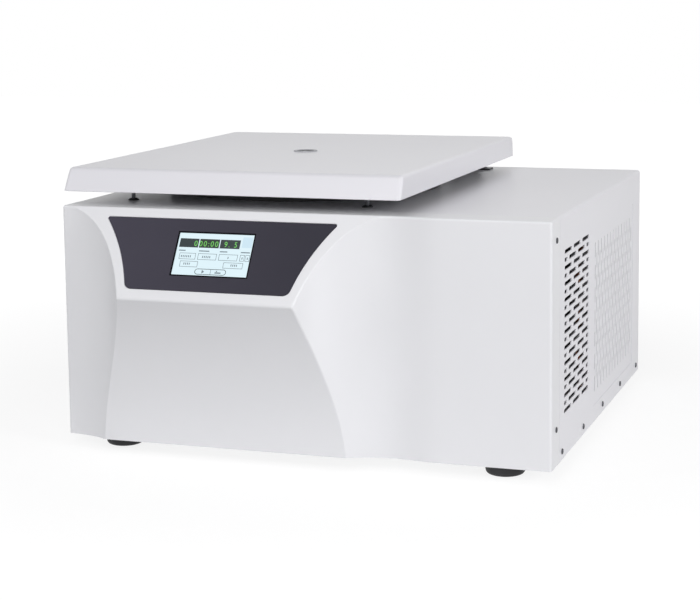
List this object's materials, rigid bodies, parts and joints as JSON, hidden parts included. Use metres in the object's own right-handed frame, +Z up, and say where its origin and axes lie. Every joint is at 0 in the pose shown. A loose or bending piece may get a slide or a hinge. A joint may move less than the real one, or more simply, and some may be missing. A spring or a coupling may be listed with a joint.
{
  "type": "cytocentrifuge",
  "caption": "Benchtop refrigerated cytocentrifuge: wide steel case, leaning touch console, flat hinged lid at the left over a chamber with a swing rotor for slide carriers.",
  "frame": {"origin": "on the surface it stands on, under the middle of its footprint box", "axes": "+X to the right of someone facing the console, +Y to the back, +Z up"},
  "size_m": [0.6232, 0.63, 0.3515],
  "materials": {
    "cover_paint": "off-white powder coat, fine texture, satin",
    "fascia_moulding": "off-white moulded ABS, satin",
    "panel_film": "dark blue-grey printed overlay, matt",
    "screen_glass": "touch glass over a lit display",
    "rubber_black": "moulded black rubber",
    "zinc_steel": "zinc-plated steel sheet",
    "guard_steel": "black painted steel",
    "screw_steel": "black-oxide steel",
    "stainless": "brushed stainless steel",
    "foam": "rigid polyurethane foam",
    "motor_paint": "dark grey enamelled casting",
    "lamination": "laminated electrical steel with copper windings",
    "bearing_steel": "ground bearing steel",
    "rotor_alloy": "machined and clear-anodised aluminium",
    "knob_black": "moulded black plastic",
    "slide_glass": "clear soda-lime glass, ground edges",
    "chamber_plastic": "moulded white polystyrene",
    "port_grey": "moulded grey plastic",
    "port_glass": "smoked acrylic disc",
    "hinge_steel": "black e-coated steel",
    "spring_steel": "spring steel wire",
    "copper": "drawn copper tube",
    "compressor_black": "black enamelled steel shell",
    "fin_alloy": "thin rolled aluminium fins",
    "shroud_black": "moulded black plastic",
    "drive_alloy": "extruded aluminium heat sink",
    "wire_red": "red PVC insulation",
    "entry_black": "moulded black plastic"
  },
  "bodies": {
    "housing": {"front_fascia": "fascia_moulding", "console_panel": "panel_film", "touch_screen": "screen_glass", "base_pan": "zinc_steel", "feet": "rubber_black", "foot_screws": "screw_steel", "cabinet_cover": "cover_paint", "rear_panel": "cover_paint", "case_screws": "screw_steel", "bulkhead": "zinc_steel", "chamber_bowl": "stainless", "foam_jacket": "foam", "guard_ring": "guard_steel", "chamber_gasket": "rubber_black", "motor_mounts": "rubber_black", "motor_plate": "zinc_steel", "motor_housing": "motor_paint", "motor_stator": "lamination", "motor_bearings": "bearing_steel", "shaft_boot": "rubber_black", "hinge_bases": "hinge_steel", "hinge_pins": "bearing_steel", "hinge_springs": "spring_steel", "latch_collars": "knob_black", "latch_brackets": "zinc_steel", "latch_motors": "motor_paint", "refrigerant_tubing": "copper", "compressor": "compressor_black", "condenser": "fin_alloy", "fan_shroud": "shroud_black", "fan_motor": "motor_paint", "drive_unit": "drive_alloy", "wiring_harness": "wire_red", "power_entry": "entry_black"},
    "lid": {"lid_shell": "cover_paint", "lid_foam": "foam", "lid_liner": "stainless", "sight_port": "port_grey", "sight_glass": "port_glass", "lid_strikers": "hinge_steel", "hinge_leaves": "hinge_steel"},
    "rotor": {"motor_armature": "bearing_steel", "rotor_head": "rotor_alloy", "rotor_knob": "knob_black"},
    "swing_1": {"carrier_1": "stainless", "slides_1": "slide_glass", "sample_chambers_1": "chamber_plastic"},
    "swing_2": {"carrier_2": "stainless", "slides_2": "slide_glass", "sample_chambers_2": "chamber_plastic"},
    "swing_3": {"carrier_3": "stainless", "slides_3": "slide_glass", "sample_chambers_3": "chamber_plastic"},
    "swing_4": {"carrier_4": "stainless", "slides_4": "slide_glass", "sample_chambers_4": "chamber_plastic"},
    "hook_left": {"latch_hook_left": "hinge_steel"},
    "hook_right": {"latch_hook_right": "hinge_steel"},
    "fan": {"fan_blades": "shroud_black"},
    "rocker": {"power_rocker": "knob_black"}
  },
  "joints": [
    {"name": "lid_hinge", "type": "hinge", "parent": "housing", "child": "lid", "pos_m": [-0.0905, 0.299, 0.3125], "axis": [-1, 0, 0], "range_deg": [0, 75], "stiffness_Nm_per_rad": 9, "springref_deg": 114.59},
    {"name": "rotor_spin", "type": "hinge", "parent": "housing", "child": "rotor", "pos_m": [-0.0905, 0.0282, 0.2345], "axis": [0, 0, 1], "continuous": true},
    {"name": "swing_1_tilt", "type": "hinge", "parent": "rotor", "child": "swing_1", "pos_m": [-0.0005, 0.0282, 0.2345], "axis": [0, -1, 0], "range_deg": [0, 90]},
    {"name": "swing_2_tilt", "type": "hinge", "parent": "rotor", "child": "swing_2", "pos_m": [-0.0905, 0.1182, 0.2345], "axis": [1, 0, 0], "range_deg": [0, 90]},
    {"name": "swing_3_tilt", "type": "hinge", "parent": "rotor", "child": "swing_3", "pos_m": [-0.1805, 0.0282, 0.2345], "axis": [0, 1, 0], "range_deg": [0, 90]},
    {"name": "swing_4_tilt", "type": "hinge", "parent": "rotor", "child": "swing_4", "pos_m": [-0.0905, -0.0618, 0.2345], "axis": [-1, 0, 0], "range_deg": [0, 90]},
    {"name": "latch_left_turn", "type": "hinge", "parent": "housing", "child": "hook_left", "pos_m": [-0.2685, -0.1783, 0.2895], "axis": [0, 0, -1], "range_deg": [0, 30]},
    {"name": "latch_right_turn", "type": "hinge", "parent": "housing", "child": "hook_right", "pos_m": [0.0435, -0.1783, 0.2895], "axis": [0, 0, -1], "range_deg": [0, 30]},
    {"name": "fan_spin", "type": "hinge", "parent": "housing", "child": "fan", "pos_m": [0.251, 0.1225, 0.15], "axis": [1, 0, 0], "continuous": true},
    {"name": "rocker_tilt", "type": "hinge", "parent": "housing", "child": "rocker", "pos_m": [0.262, 0.3083, 0.118], "axis": [-1, 0, 0], "range_deg": [0, 16]}
  ],
  "couplings": [
    {"joint": "swing_2_tilt", "follows": "swing_1_tilt", "ratio": 1},
    {"joint": "swing_3_tilt", "follows": "swing_1_tilt", "ratio": 1},
    {"joint": "swing_4_tilt", "follows": "swing_1_tilt", "ratio": 1},
    {"joint": "latch_right_turn", "follows": "latch_left_turn", "ratio": 1}
  ]
}
